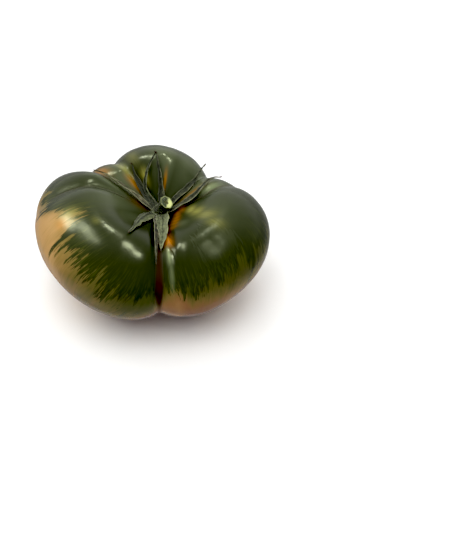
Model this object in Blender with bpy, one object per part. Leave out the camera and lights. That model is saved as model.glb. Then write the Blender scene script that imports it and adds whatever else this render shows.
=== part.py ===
# A ribbed green salad tomato, whole, with its star of dry sepals and a short cut stalk.
# Metres, +Z up. The origin is on the surface that it rests on, under the middle of the fruit.
# Bearings are degrees anticlockwise from +X, seen from above. The front of the fruit is at -Y.
import math
from bisect import bisect_right
from collections import namedtuple

import bmesh
import bpy
from mathutils import Vector
from mathutils.bvhtree import BVHTree
from mathutils.geometry import interpolate_bezier

# The fruit's axis leans from the middle of its foot to the seat of the stalk
FOOT = Vector((0.0018, 0.0040, 0.0))
SEAT = Vector((0.0034, -0.0016, 0.0436))

# Lobes by bearing: how far each side reaches from the axis, and how high its shoulder stands
Lobe = namedtuple("Lobe", "bearing reach crown")
LOBES = (
    Lobe(32, 0.0393, 0.0525),
    Lobe(80, 0.0361, 0.0592),
    Lobe(129, 0.0456, 0.0561),
    Lobe(153, 0.0505, 0.0570),
    Lobe(222, 0.0429, 0.0550),
    Lobe(272, 0.0384, 0.0510),
    Lobe(310, 0.0404, 0.0516),
    Lobe(345, 0.0430, 0.0523),
)

# Furrows between the lobes. The bend turns one sideways as it climbs out of the hollow.
# It fades out between two shares of the way from the seat to the middle of the foot.
Furrow = namedtuple("Furrow", "bearing bend depth half_width fades_from fades_to")
FURROWS = (
    Furrow(265.5, 1, 0.0044, 12, 0.74, 0.94),
    Furrow(279.5, 0, 0.0021, 6, 0.45, 0.75),
    Furrow(12, 14, 0.0024, 8, 0.28, 0.55),
    Furrow(46, 0, 0.0072, 13, 0.50, 0.95),
    Furrow(87, 0, 0.0020, 8, 0.08, 0.24),
    Furrow(119.5, 0, 0.0052, 9, 0.70, 0.92),
    Furrow(137, 0, 0.0066, 9, 0.70, 0.92),
    Furrow(151, 19, 0.0022, 7, 0.28, 0.55),
)
FURROW_BOTTOM_ROUND = 0.25
FURROWS_START = (0.02, 0.20)
BEND_DONE = 0.40

# Section of a lobe, as shares of its reach and height. Each handle is a Bezier handle's length.
SHOULDER_AT = 0.56
WIDEST_AT = 0.66
FLAT_SPOT = 0.25
SEAT_HANDLE = 0.20
SHOULDER_HANDLES = (0.20, 0.195)
SIDE_HANDLES = (0.17, 0.32)
FLAT_SPOT_HANDLE = 0.45
TYPICAL_LOBE = Lobe(0, 0.046, 0.056)
POINTS_PER_ARC = 60

# Facets of the fruit, and how strongly its meridians are drawn towards the furrows
MERIDIANS = 100
RINGS = 40
MERIDIAN_PULL = 0.5

# Calyx: a small disc on the seat, and the sepals that grow from it
GAP = 0.00032
DISC_RADIUS = 0.0033
DISC_HALF_HEIGHT = 0.0011
SEPAL_THICKNESS = 0.0007
SEPAL_STATIONS = 10
SEPAL_TIP_WIDTH = 0.0009
SEPAL_ROOT_SHARE = 0.90
SEPAL_WIDEST = 0.18
SEPAL_TAPER_END = 1.05
SPAN_AROUND = 9
SPAN_ALONG = 0.03
LIFTING_PASSES = 4

# A sepal's path is a Bezier curve of (bearing, millimetres along the skin, millimetres above it).
# Fold is the rise of its two edges over its middle, as a share of its width.
Sepal = namedtuple("Sepal", "root leaving arriving tip width fold")
SEPALS = {
    "front_left": Sepal((196, 2.2, 1.0), (220, 9, 1.6), (235, 18, 1.8), (235, 27, 0.9), 0.0042, -0.20),
    "front_left_furrow": Sepal((244, 2.2, 1.0), (258, 12, 1.6), (261, 24, 1.2), (263, 38, 0.9), 0.0027, 0.12),
    "front": Sepal((288, 2.2, 1.0), (278, 9, 2.0), (267, 18, 1.8), (267, 29, 0.9), 0.0052, 0.10),
    "right": Sepal((-8, 2.2, 1.0), (14, 13, 1.8), (34, 24, 1.4), (32, 38, 1.1), 0.0026, 0.12),
    "back_right": Sepal((32, 2.2, 1.0), (48, 13, 1.6), (47, 26, 1.2), (57, 36, 4.4), 0.0024, 0.14),
    "back": Sepal((74, 2.2, 1.0), (82, 10, 1.7), (87, 17, 1.3), (90, 27, 1.6), 0.0026, 0.16),
    "back_left": Sepal((118, 2.2, 1.0), (116, 10, 1.5), (118, 18, 1.3), (113, 25, 2.4), 0.0028, 0.14),
    "back_left_twin": Sepal((108, 2.2, 1.0), (122, 11, 2.0), (103, 19, 1.5), (92, 27, 1.5), 0.0021, 0.14),
    "left": Sepal((154, 2.2, 1.0), (145, 9, 1.6), (137, 17, 1.5), (147, 30, 1.1), 0.0022, 0.12),
}

# Cut stalk: radii from the disc up to the cut, which faces up, to the front and to the right
STALK_LEAN = Vector((0.0026, -0.0002, 0.0036))
STALK_RADII = (0.0024, 0.0023, 0.0023, 0.0024, 0.0025)
STALK_BOW = 0.0005
STALK_CUT_NORMAL = Vector((0.30, -0.42, 0.86))
STALK_SIDES = 16
STALK_SHARP_ANGLE = math.radians(40)


def smooth_step(start, end, value):
    """0 up to the start, 1 from the end, and an S-shaped rise between."""
    share = min(max((value - start) / (end - start), 0.0), 1.0)
    return share * share * (3 - 2 * share)


def turn_between(bearing, other):
    """The turn from the other bearing to this one, from -180 to 180 degrees."""
    return (bearing - other + 180) % 360 - 180


def typical_point(across, up, in_hollow):
    """A section point on a lobe of typical size."""
    bottom = SEAT.z if in_hollow else 0.0
    return Vector((across * TYPICAL_LOBE.reach, bottom + (TYPICAL_LOBE.crown - bottom) * up))


def section_points():
    """Points from the seat over the shoulder to the middle of the foot.

    Each is the share of the way along, the shares of reach and height, whether it is
    in the hollow, and the outward direction.
    """
    arcs = (
        (True, (0, 0), (SEAT_HANDLE, 0), (SHOULDER_AT - SHOULDER_HANDLES[0], 1), (SHOULDER_AT, 1)),
        (False, (SHOULDER_AT, 1), (SHOULDER_AT + SHOULDER_HANDLES[1], 1),
         (1, WIDEST_AT + SIDE_HANDLES[0]), (1, WIDEST_AT)),
        (False, (1, WIDEST_AT), (1, WIDEST_AT - SIDE_HANDLES[1]),
         (FLAT_SPOT + FLAT_SPOT_HANDLE, 0), (FLAT_SPOT, 0)),
        (False, (FLAT_SPOT, 0), (FLAT_SPOT * 2 / 3, 0), (FLAT_SPOT / 3, 0), (0, 0)),
    )
    shares = []
    for in_hollow, *corners in arcs:
        curve = interpolate_bezier(*[Vector(corner) for corner in corners], POINTS_PER_ARC)
        shares += [(point.x, point.y, in_hollow) for point in curve[1 if shares else 0:]]
    places = [typical_point(*share) for share in shares]
    lengths = [0.0]
    for before, after in zip(places, places[1:]):
        lengths.append(lengths[-1] + (after - before).length)
    points = []
    for index, share in enumerate(shares):
        before = places[max(index - 1, 0)]
        after = places[min(index + 1, len(places) - 1)]
        along = (after - before).normalized()
        points.append((lengths[index] / lengths[-1], *share, Vector((-along.y, along.x))))
    return points, lengths[-1]


SECTION, SECTION_LENGTH = section_points()
SECTION_SHARES = [point[0] for point in SECTION]


def section_at(share):
    """Shares of reach and height, hollow or outside, and outward direction, part of the way along."""
    index = min(max(bisect_right(SECTION_SHARES, share) - 1, 0), len(SECTION) - 2)
    start, end = SECTION[index], SECTION[index + 1]
    blend = (share - start[0]) / (end[0] - start[0])
    across = start[1] + (end[1] - start[1]) * blend
    up = start[2] + (end[2] - start[2]) * blend
    return across, up, end[3], start[4].lerp(end[4], blend)


def lobe_value(field, bearing):
    """A lobe's reach or crown at any bearing, on a smooth closed curve through the lobes."""
    bearing = bearing % 360
    following = sum(lobe.bearing <= bearing for lobe in LOBES)
    angles = []
    values = []
    for index in range(following - 2, following + 2):
        turns, place = divmod(index, len(LOBES))
        angles.append(LOBES[place].bearing + 360 * turns)
        values.append(getattr(LOBES[place], field))
    span = angles[2] - angles[1]
    slope_in = (values[2] - values[0]) / (angles[2] - angles[0]) * span
    slope_out = (values[3] - values[1]) / (angles[3] - angles[1]) * span
    t = (bearing - angles[1]) / span
    return ((2 * t ** 3 - 3 * t ** 2 + 1) * values[1] + (t ** 3 - 2 * t ** 2 + t) * slope_in
            + (-2 * t ** 3 + 3 * t ** 2) * values[2] + (t ** 3 - t ** 2) * slope_out)


def furrow_bearing(furrow, share):
    """Where a furrow's bottom runs, part of the way from the seat to the foot."""
    return furrow.bearing + furrow.bend * smooth_step(0, BEND_DONE, share)


def furrow_depth(bearing, share):
    """Depth of all the furrows together at one place on the skin."""
    depth = 0.0
    for furrow in FURROWS:
        away = turn_between(bearing, furrow_bearing(furrow, share)) / furrow.half_width
        rounded = math.hypot(away, FURROW_BOTTOM_ROUND) - FURROW_BOTTOM_ROUND
        fading = 1 - smooth_step(furrow.fades_from, furrow.fades_to, share)
        depth += furrow.depth * fading * math.exp(-rounded)
    return depth * smooth_step(*FURROWS_START, share)


def skin_point(bearing, share):
    """Place on the skin at a bearing, part of the way from the seat to the middle of the foot."""
    across, up, in_hollow, outward = section_at(share)
    depth = furrow_depth(bearing, share)
    radius = max(across * lobe_value("reach", bearing) - depth * outward.x, 0.0)
    bottom = SEAT.z if in_hollow else 0.0
    height = max(bottom + (lobe_value("crown", bearing) - bottom) * up - depth * outward.y, 0.0)
    axis = FOOT.lerp(SEAT, height / SEAT.z)
    angle = math.radians(bearing)
    return Vector((axis.x + radius * math.cos(angle), axis.y + radius * math.sin(angle), height))


def broad_normal(bearing, share):
    """Outward direction of the skin as a sepal lies on it, across any furrow under it."""
    around = skin_point(bearing + SPAN_AROUND, share) - skin_point(bearing - SPAN_AROUND, share)
    along = skin_point(bearing, share + SPAN_ALONG) - skin_point(bearing, max(share - SPAN_ALONG, 0.0))
    return along.cross(around).normalized()


def drawn_to_furrows(bearing, share):
    """The bearing, moved towards the furrows beside it."""
    moved = bearing
    for furrow in FURROWS:
        away = turn_between(bearing, furrow_bearing(furrow, share))
        moved -= MERIDIAN_PULL * away * math.exp(-(away / furrow.half_width) ** 2)
    return moved


def new_object(name, bm, material):
    """Closes up one piece's mesh and puts it in the scene."""
    bmesh.ops.recalc_face_normals(bm, faces=bm.faces)
    mesh = bpy.data.meshes.new(name)
    bm.to_mesh(mesh)
    bm.free()
    mesh.materials.append(material)
    piece = bpy.data.objects.new(name, mesh)
    bpy.context.scene.collection.objects.link(piece)
    return piece


def new_material(name, color, roughness):
    material = bpy.data.materials.new(name)
    material.use_nodes = True
    shader = material.node_tree.nodes["Principled BSDF"]
    shader.inputs["Base Color"].default_value = (*color, 1.0)
    shader.inputs["Roughness"].default_value = roughness
    shader.inputs["Metallic"].default_value = 0.0
    return material


def skin_material():
    return new_material("tomato_skin", (0.060, 0.085, 0.018), 0.22)


def calyx_material():
    return new_material("dry_calyx", (0.065, 0.072, 0.040), 0.75)


def stalk_material():
    return new_material("green_stalk", (0.160, 0.180, 0.070), 0.70)


def make_fruit():
    """The ribbed fruit, from a ball whose points move onto the skin. Returns a search tree of it."""
    bm = bmesh.new()
    bmesh.ops.create_uvsphere(bm, u_segments=MERIDIANS, v_segments=RINGS, radius=1)
    for vertex in bm.verts:
        bearing = math.degrees(math.atan2(vertex.co.y, vertex.co.x))
        share = math.acos(min(max(vertex.co.z, -1.0), 1.0)) / math.pi
        vertex.co = skin_point(drawn_to_furrows(bearing, share), share)
    resting = [face for face in bm.faces if all(vertex.co.z == 0.0 for vertex in face.verts)]
    bmesh.ops.dissolve_faces(bm, faces=resting)
    bmesh.ops.triangulate(bm, faces=[face for face in bm.faces if len(face.verts) == 4])
    tree = BVHTree.FromBMesh(bm)
    fruit = new_object("fruit", bm, skin_material())
    fruit.data.shade_smooth()
    return tree


def sepal_width(sepal, share):
    """Full width of a sepal, part of the way from its root to its tip."""
    swelling = SEPAL_ROOT_SHARE + (1 - SEPAL_ROOT_SHARE) * smooth_step(0, SEPAL_WIDEST, share)
    tapering = 1 - smooth_step(SEPAL_WIDEST, SEPAL_TAPER_END, share)
    return max(sepal.width * swelling * tapering, SEPAL_TIP_WIDTH)


def sepal_sections(sepal, skin_tree):
    """Rings of six points along a sepal: its upper left, middle and right, then back beneath."""
    knots = [Vector(knot) for knot in (sepal.root, sepal.leaving, sepal.arriving, sepal.tip)]
    path = interpolate_bezier(*knots, SEPAL_STATIONS)
    places = []
    normals = []
    for bearing, distance, lift in path:
        share = distance / 1000 / SECTION_LENGTH
        normals.append(broad_normal(bearing, share))
        places.append(skin_point(bearing, share) + normals[-1] * lift / 1000)
    sections = []
    for index, (place, normal) in enumerate(zip(places, normals)):
        forward = places[min(index + 1, len(places) - 1)] - places[max(index - 1, 0)]
        side = forward.cross(normal).normalized()
        width = sepal_width(sepal, index / (SEPAL_STATIONS - 1))
        rise = normal * width * sepal.fold
        half_thick = normal * SEPAL_THICKNESS / 2
        middle_line = [place - side * width / 2 + rise, place, place + side * width / 2 + rise]
        ring = [point + half_thick for point in middle_line]
        ring += [point - half_thick for point in reversed(middle_line)]
        sections.append(lifted_clear(ring, normal, skin_tree))
    return sections


def lifted_clear(ring, normal, skin_tree):
    """The ring, moved outwards until all of it clears the skin."""
    for _ in range(LIFTING_PASSES):
        shortfall = 0.0
        for point in ring:
            nearest, facing, _, _ = skin_tree.find_nearest(point)
            shortfall = max(shortfall, GAP - (point - nearest).dot(facing))
        ring = [point + normal * shortfall for point in ring]
    return ring


def make_sepal(name, sepal, skin_tree, material):
    """One sepal: its root section, drawn out from station to station and closed at both ends."""
    sections = sepal_sections(sepal, skin_tree)
    bm = bmesh.new()
    ring = [bm.verts.new(point) for point in sections[0]]
    bm.faces.new(ring)
    edges = list(bm.edges)
    for section in sections[1:]:
        drawn = bmesh.ops.extrude_edge_only(bm, edges=edges)["geom"]
        edges = [item for item in drawn if isinstance(item, bmesh.types.BMEdge) and item.is_boundary]
        ring = follow_ring(ring, drawn)
        for vertex, point in zip(ring, section):
            vertex.co = point
    bm.faces.new(reversed(ring))
    bmesh.ops.triangulate(bm, faces=bm.faces, quad_method="FIXED")
    return new_object(f"sepal_{name}", bm, material)


def follow_ring(ring, drawn):
    """The new ring's vertices, in the order of the vertices that they were drawn from."""
    fresh = {item for item in drawn if isinstance(item, bmesh.types.BMVert)}
    followed = []
    for vertex in ring:
        neighbours = [edge.other_vert(vertex) for edge in vertex.link_edges]
        followed += [neighbour for neighbour in neighbours if neighbour in fresh]
    return followed


def make_calyx(skin_tree):
    """The disc on the seat with all its sepals, joined in one solid."""
    material = calyx_material()
    bm = bmesh.new()
    bmesh.ops.create_uvsphere(bm, u_segments=18, v_segments=10, radius=1)
    bmesh.ops.scale(bm, verts=bm.verts, vec=(DISC_RADIUS, DISC_RADIUS, DISC_HALF_HEIGHT))
    bmesh.ops.translate(bm, verts=bm.verts, vec=SEAT + Vector((0, 0, GAP + DISC_HALF_HEIGHT)))
    calyx = new_object("calyx", bm, material)

    blades = bpy.data.collections.new("sepals")
    bpy.context.scene.collection.children.link(blades)
    for name, sepal in SEPALS.items():
        blade = make_sepal(name, sepal, skin_tree, material)
        bpy.context.scene.collection.objects.unlink(blade)
        blades.objects.link(blade)

    union = calyx.modifiers.new("join_sepals", "BOOLEAN")
    union.operation = "UNION"
    union.solver = "EXACT"
    union.operand_type = "COLLECTION"
    union.collection = blades
    depsgraph = bpy.context.evaluated_depsgraph_get()
    joined = bpy.data.meshes.new_from_object(calyx.evaluated_get(depsgraph))
    calyx.modifiers.remove(union)
    calyx.data = joined
    for blade in list(blades.objects):
        bpy.data.objects.remove(blade)
    bpy.data.collections.remove(blades)
    return calyx


def make_stalk():
    """The short stalk, drawn up from its foot in a slight bow, its rings tilting towards the slanting cut."""
    foot = SEAT + Vector((0, 0, 2 * GAP + 2 * DISC_HALF_HEIGHT))
    bm = bmesh.new()
    ring = bmesh.ops.create_circle(bm, cap_ends=True, segments=STALK_SIDES, radius=STALK_RADII[0])["verts"]
    bmesh.ops.translate(bm, verts=ring, vec=foot)
    edges = list(bm.edges)
    centre = foot
    radius = STALK_RADII[0]
    steps = len(STALK_RADII) - 1
    for step in range(1, steps + 1):
        share = step / steps
        next_centre = foot + STALK_LEAN * share + Vector((STALK_BOW * math.sin(math.pi * share), 0, 0))
        drawn = bmesh.ops.extrude_edge_only(bm, edges=edges)["geom"]
        ring = [item for item in drawn if isinstance(item, bmesh.types.BMVert)]
        edges = [item for item in drawn if isinstance(item, bmesh.types.BMEdge) and item.is_boundary]
        for vertex in ring:
            away = (vertex.co - centre).xy * STALK_RADII[step] / radius
            fall = away.dot(STALK_CUT_NORMAL.xy) / STALK_CUT_NORMAL.z
            vertex.co = next_centre + Vector((*away, -fall * share ** 2))
        centre = next_centre
        radius = STALK_RADII[step]
    bmesh.ops.contextual_create(bm, geom=edges)
    bmesh.ops.triangulate(bm, faces=[face for face in bm.faces if len(face.verts) == 4])
    stalk = new_object("stem_stub", bm, stalk_material())
    stalk.data.shade_smooth()
    stalk.data.set_sharp_from_angle(angle=STALK_SHARP_ANGLE)
    return stalk


for leftover in list(bpy.data.objects):
    bpy.data.objects.remove(leftover)

skin_tree = make_fruit()
make_calyx(skin_tree)
make_stalk()
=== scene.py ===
# A ribbed green salad tomato, whole, with its star of dry sepals and a short cut stalk.
# Metres, +Z up. The origin is on the surface that it rests on, under the middle of the fruit.
# Bearings are degrees anticlockwise from +X, seen from above. The front of the fruit is at -Y.
import math
import random
from collections import namedtuple

import bmesh
import bpy
import numpy as np
from mathutils import Matrix, Vector, noise
from mathutils.bvhtree import BVHTree
from mathutils.geometry import interpolate_bezier


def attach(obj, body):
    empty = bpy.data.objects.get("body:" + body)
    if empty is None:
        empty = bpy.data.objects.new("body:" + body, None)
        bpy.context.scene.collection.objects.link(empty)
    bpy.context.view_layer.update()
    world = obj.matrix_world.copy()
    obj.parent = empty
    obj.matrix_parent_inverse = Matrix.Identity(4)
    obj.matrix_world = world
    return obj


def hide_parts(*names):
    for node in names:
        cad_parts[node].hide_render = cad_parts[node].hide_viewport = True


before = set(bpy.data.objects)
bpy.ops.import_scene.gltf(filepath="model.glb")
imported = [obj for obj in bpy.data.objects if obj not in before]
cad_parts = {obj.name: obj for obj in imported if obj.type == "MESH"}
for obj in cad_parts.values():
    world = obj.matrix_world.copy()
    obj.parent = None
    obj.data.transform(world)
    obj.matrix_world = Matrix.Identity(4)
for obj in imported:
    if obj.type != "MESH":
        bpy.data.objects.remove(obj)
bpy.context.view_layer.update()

# The fruit: a thin waxy skin stretched over fleshy lobes, which grow together in a hollow round
# the stalk. It ripens from the blossom end up, so the dark green of its shoulders ends in
# brush-like streaks over olive, ochre and tan, and the furrows redden first.

# Its axis runs from FOOT, the middle of the flat spot, to SEAT, where the stalk stands. A lobe's
# reach is how far it stands out from the axis, and its crown is how high it stands.
FOOT = Vector((0.0018, 0.0040, 0.0))
SEAT = Vector((0.0034, -0.0016, 0.0436))
Lobe = namedtuple("Lobe", "bearing reach crown")
LOBES = (
    Lobe(32, 0.0393, 0.0525),
    Lobe(80, 0.0361, 0.0592),
    Lobe(129, 0.0456, 0.0561),
    Lobe(153, 0.0505, 0.0570),
    Lobe(222, 0.0429, 0.0550),
    Lobe(272, 0.0384, 0.0510),
    Lobe(310, 0.0404, 0.0516),
    Lobe(345, 0.0430, 0.0523),
)

# A furrow's bend turns it sideways as it climbs out of the hollow. It fades out between two
# shares of the way from the seat of the stalk to the middle of the foot. Redness, from 0 to 1,
# is how far its bottom has reddened.
Furrow = namedtuple("Furrow", "bearing bend depth half_width fades_from fades_to redness")
FURROWS = (
    Furrow(265.5, 1, 0.0044, 12, 0.74, 0.94, 1.0),
    Furrow(279.5, 0, 0.0021, 6, 0.45, 0.75, 0.0),
    Furrow(12, 14, 0.0024, 8, 0.28, 0.55, 0.45),
    Furrow(46, 0, 0.0072, 13, 0.50, 0.95, 0.15),
    Furrow(87, 0, 0.0020, 8, 0.08, 0.24, 0.0),
    Furrow(119.5, 0, 0.0052, 9, 0.70, 0.92, 0.15),
    Furrow(137, 0, 0.0066, 9, 0.70, 0.92, 0.35),
    Furrow(151, 19, 0.0022, 7, 0.28, 0.55, 0.3),
)
FURROW_BOTTOM_ROUND = 0.25
FURROWS_START = (0.02, 0.20)
BEND_DONE = 0.40

# Section of a lobe, as shares of its reach and height. Each handle is a Bezier handle's length.
SHOULDER_AT = 0.56
WIDEST_AT = 0.66
FLAT_SPOT = 0.25
SEAT_HANDLE = 0.20
SHOULDER_HANDLES = (0.20, 0.195)
SIDE_HANDLES = (0.17, 0.32)
FLAT_SPOT_HANDLE = 0.45
TYPICAL_LOBE = Lobe(0, 0.046, 0.056)
POINTS_PER_ARC = 60

# Swellings of the flesh under the skin: how high each kind stands, and the scale of its noise
SWELLINGS = ((0.00022, 3.2), (0.00006, 9.0))
SWELLINGS_START = (0.10, 0.28)
SWELLINGS_ALONG = 2.4

# The blossom scar: a corky dimple in the middle of the foot, puckered into a few folds. Cork
# shows past FOOT_SHARE of the way, and comes up between two shares of the scar's depth.
SCAR_RADIUS = 0.0042
SCAR_DEPTH = 0.0013
SCAR_FOLDS = 7
SCAR_FOLD_DEPTH = 0.25
FOOT_SHARE = 0.90
CORK_FROM = (0.2, 0.7)

# The mesh of the skin. Its meridians are drawn towards the furrows, where the skin bends most.
FRUIT_MERIDIANS = 384
FRUIT_RINGS = 200
MERIDIAN_PULL = 0.5
SEAM_REACH = 0.000001

# Where the dark green ends and where the skin has fully turned, as shares of the way from seat to
# foot, how ripe it is where the green ends, how much the ripe skin blushes brown, and how much
# the streaks lean over, in degrees of bearing along the whole way.
Ripening = namedtuple("Ripening", "bearing green_ends turned ripe_there blush lean")
RIPENING = (
    Ripening(20, 0.43, 0.64, 0.3, 0.3, -40),
    Ripening(60, 0.42, 0.62, 0.3, 0.2, 0),
    Ripening(95, 0.46, 0.66, 0.3, 0.2, 0),
    Ripening(130, 0.42, 0.60, 0.4, 0.2, 0),
    Ripening(160, 0.40, 0.50, 0.6, 0.2, 0),
    Ripening(172, 0.39, 0.47, 0.6, 0.2, 0),
    Ripening(178, 0.36, 0.43, 0.6, 0.1, 0),
    Ripening(184, 0.30, 0.38, 0.6, 0.0, 0),
    Ripening(193, 0.28, 0.36, 0.7, 0.0, 0),
    Ripening(199, 0.30, 0.42, 0.7, 0.0, -20),
    Ripening(205, 0.335, 0.48, 0.6, 0.0, -40),
    Ripening(212, 0.35, 0.56, 0.6, 0.1, -60),
    Ripening(220, 0.37, 0.68, 0.55, 0.2, -75),
    Ripening(228, 0.41, 0.92, 0.52, 0.5, -75),
    Ripening(238, 0.43, 0.94, 0.46, 0.7, -70),
    Ripening(248, 0.45, 0.98, 0.38, 0.8, -50),
    Ripening(256, 0.47, 0.90, 0.2, 0.8, -25),
    Ripening(262, 0.49, 0.72, 0.2, 0.9, 0),
    Ripening(268, 0.44, 0.62, 0.3, 0.8, 0),
    Ripening(273, 0.42, 0.56, 0.4, 0.6, 15),
    Ripening(279, 0.43, 0.54, 0.3, 0.8, 30),
    Ripening(285, 0.44, 0.66, 0.2, 1.0, 10),
    Ripening(295, 0.42, 0.64, 0.3, 1.0, 0),
    Ripening(330, 0.43, 0.64, 0.3, 0.4, -60),
)
STREAKS_START = 0.35
LONGEST_LEAN = 0.25

# Tongues of green that run on past the rest, by how far they do
Tongue = namedtuple("Tongue", "bearing half_width reach")
TONGUES = (
    Tongue(201.5, 1.5, 0.120),
    Tongue(206.0, 0.6, 0.060),
    Tongue(226.0, 0.8, 0.050),
    Tongue(240.0, 1.0, 0.040),
    Tongue(278.5, 0.8, 0.060),
    Tongue(60, 2.0, 0.060),
    Tongue(330, 2.5, 0.050),
)

# Patches where the skin has coloured or thinned on the green, where its wax is dull, and where light
# is painted on it: the pale ones paint paler skin and, on thin rims and a rib, highlights; some yellow
# ones paint a reflection and a highlight; the bloom and sheen ones paint a grey-green sheen over a paler
# wax bloom
Patch = namedtuple("Patch", "tint bearing share half_bearing half_share strength")
PATCHES = (
    Patch("orange", 277, 0.165, 5.0, 0.045, 1.00),
    Patch("orange", 193, 0.330, 4.0, 0.020, 0.60),
    Patch("orange", 78, 0.125, 2.5, 0.035, 0.60),
    Patch("orange", 124, 0.135, 4.0, 0.040, 0.50),
    Patch("orange", 134, 0.300, 3.5, 0.060, 0.45),
    Patch("orange", 152, 0.065, 14.0, 0.030, 0.12),
    Patch("orange", 31, 0.150, 4.0, 0.060, 0.30),
    Patch("orange", 292, 0.112, 11.0, 0.014, 0.36),
    Patch("orange", 302, 0.092, 11.0, 0.012, 0.45),
    Patch("orange", 314, 0.077, 12.0, 0.012, 0.55),
    Patch("orange", 328, 0.066, 14.0, 0.011, 0.50),
    Patch("orange", 346, 0.060, 16.0, 0.011, 0.50),
    Patch("orange", 5, 0.074, 14.0, 0.014, 0.50),
    Patch("yellow", 190, 0.300, 5.0, 0.030, 0.50),
    # The next four paint a yellow-green reflection in a band over the right lobe's inner slope
    Patch("yellow", 351, 0.111, 10.0, 0.018, 0.80),
    Patch("yellow", 342, 0.138, 9.0, 0.026, 0.65),
    Patch("yellow", 334, 0.180, 8.0, 0.036, 0.48),
    Patch("yellow", 326, 0.230, 6.0, 0.034, 0.35),
    # Painted highlight on the back lobe's flank, over yellower skin
    Patch("yellow", 109, 0.145, 3.5, 0.030, 1.00),
    Patch("yellow", 122, 0.230, 3.0, 0.080, 0.60),
    Patch("yellow", 112, 0.260, 4.0, 0.070, 0.25),
    Patch("yellow", 206, 0.245, 4.0, 0.012, 0.25),
    # The next two paint a highlight down the narrow front rib, over paler skin
    Patch("pale", 274.5, 0.270, 1.6, 0.045, 0.90),
    Patch("pale", 275, 0.350, 1.5, 0.090, 0.32),
    Patch("pale", 148, 0.200, 2.5, 0.060, 0.30),
    # The next two paint highlights along thin crest rims, on the right lobe and on a back-left lobe
    Patch("pale", 25, 0.215, 4.0, 0.060, 0.60),
    Patch("pale", 122, 0.250, 3.0, 0.080, 0.35),
    # These paint a grey-green sheen over the back lobes and shoulders, on a paler wax bloom
    Patch("bloom_and_sheen", 80, 0.210, 20.0, 0.120, 0.90),
    Patch("bloom_and_sheen", 45, 0.240, 25.0, 0.150, 1.40),
    Patch("bloom_and_sheen", 132, 0.200, 7.0, 0.120, 1.00),
    Patch("bloom_and_sheen", 345, 0.190, 32.0, 0.110, 0.30),
    Patch("bloom_and_sheen", 310, 0.120, 14.0, 0.030, 0.50),
    Patch("bloom_and_sheen", 172, 0.140, 25.0, 0.080, 0.70),
    Patch("bloom_and_sheen", 205, 0.110, 25.0, 0.060, 0.50),
    Patch("dull", 311, 0.290, 13.0, 0.085, 0.70),
)

# Skin colours. A ripening skin runs through RIPE_COLOURS, by how ripe it is.
SHOULDER_GREEN = (0.037, 0.043, 0.020)
# A lighter grey-green: painted sheen over a paler wax bloom
BLOOM_AND_SHEEN_GREEN = (0.108, 0.124, 0.068)
MID_GREEN = (0.064, 0.073, 0.022)
OLIVE = (0.086, 0.082, 0.028)
YELLOW_OLIVE = (0.150, 0.128, 0.036)
OCHRE = (0.270, 0.180, 0.056)
TAN = (0.450, 0.270, 0.100)
BLUSH = (0.210, 0.100, 0.044)
PATCH_ORANGE = (0.520, 0.200, 0.010)
# The yellow tint also paints a yellow-green reflection and a highlight
YELLOW_AND_REFLECTION_TINT = (0.330, 0.320, 0.080)
# The pale tint also paints highlights on thin rims and a rib
PALE_AND_HIGHLIGHT_TINT = (0.300, 0.360, 0.180)
FURROW_RED = (0.042, 0.026, 0.016)
CORK = (0.230, 0.150, 0.080)
RIPE_COLOURS = ((0.08, MID_GREEN), (0.30, OLIVE), (0.52, YELLOW_OLIVE), (0.75, OCHRE), (1.00, TAN))
PATCH_TINTS = {"pale": PALE_AND_HIGHLIGHT_TINT, "yellow": YELLOW_AND_REFLECTION_TINT, "orange": PATCH_ORANGE}
BLUSH_SHOWS = (0.85, 1.45)

# The streaks are noise on a drum round the fruit's axis, in three widths. Its scale round the drum
# against along it makes them long and narrow. Each width makes the green's end ragged and the
# ripeness uneven by a share of its own.
BROAD_STREAKS = (5.0, 5.0, 4.0)
BOLD_STREAKS = (24.0, 24.0, 9.0)
FINE_STREAKS = (70.0, 70.0, 14.0)
END_RAGGED = (0.14, 0.22, 0.26)
RIPENESS_UNEVEN = (0.4, 0.3, 0.3)
STREAK_EDGE = 0.010
FLECKS_SHOW = (0.45, 0.72)
FLECK_REACH = 0.16
SHORTEST_TURN = 0.08
TURN_STARTS_EARLY = 0.02
PATCH_STREAKS = (0.30, 0.55)
PATCH_THINNEST = 0.65

# How far beside its bottom a furrow reddens, how its redness shows, and where it weakens lower down
REDDENED_SHARE = 0.22
FURROW_REDDENS = (0.10, 0.70)
REDNESS_FADES = (0.42, 0.60)
REDNESS_FADES_BY = 0.6

# The gloss of the wax and the pores in it. A grain is a noise's levels of detail and its roughness.
SKIN_ROUGHNESS = (0.23, 0.26)
GLOSS_VARIES = (0.3, 0.7)
DULL_ROUGHENS_BY = 0.12
SKIN_IOR = 1.34
FULL_SHINE = 0.5
WAX_TINT = (0.92, 1.00, 0.64)
PORES_PER_METRE = 1400
PORE_DEPTH = 0.00003
SMOOTH_GRAIN = (2.0, 0.5)
PORE_GRAIN = (2.0, 0.6)
FIBRE_GRAIN = (3.0, 0.6)
SPECKLED_GRAIN = (3.0, 0.65)


def smooth_step(start, end, value):
    """0 up to the start, 1 from the end, and an S-shaped rise between."""
    share = np.clip((value - start) / (end - start), 0.0, 1.0)
    return share * share * (3 - 2 * share)


def turn_between(bearing, other):
    """The turn from the other bearing to this one, from -180 to 180 degrees."""
    return (bearing - other + 180) % 360 - 180


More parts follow.
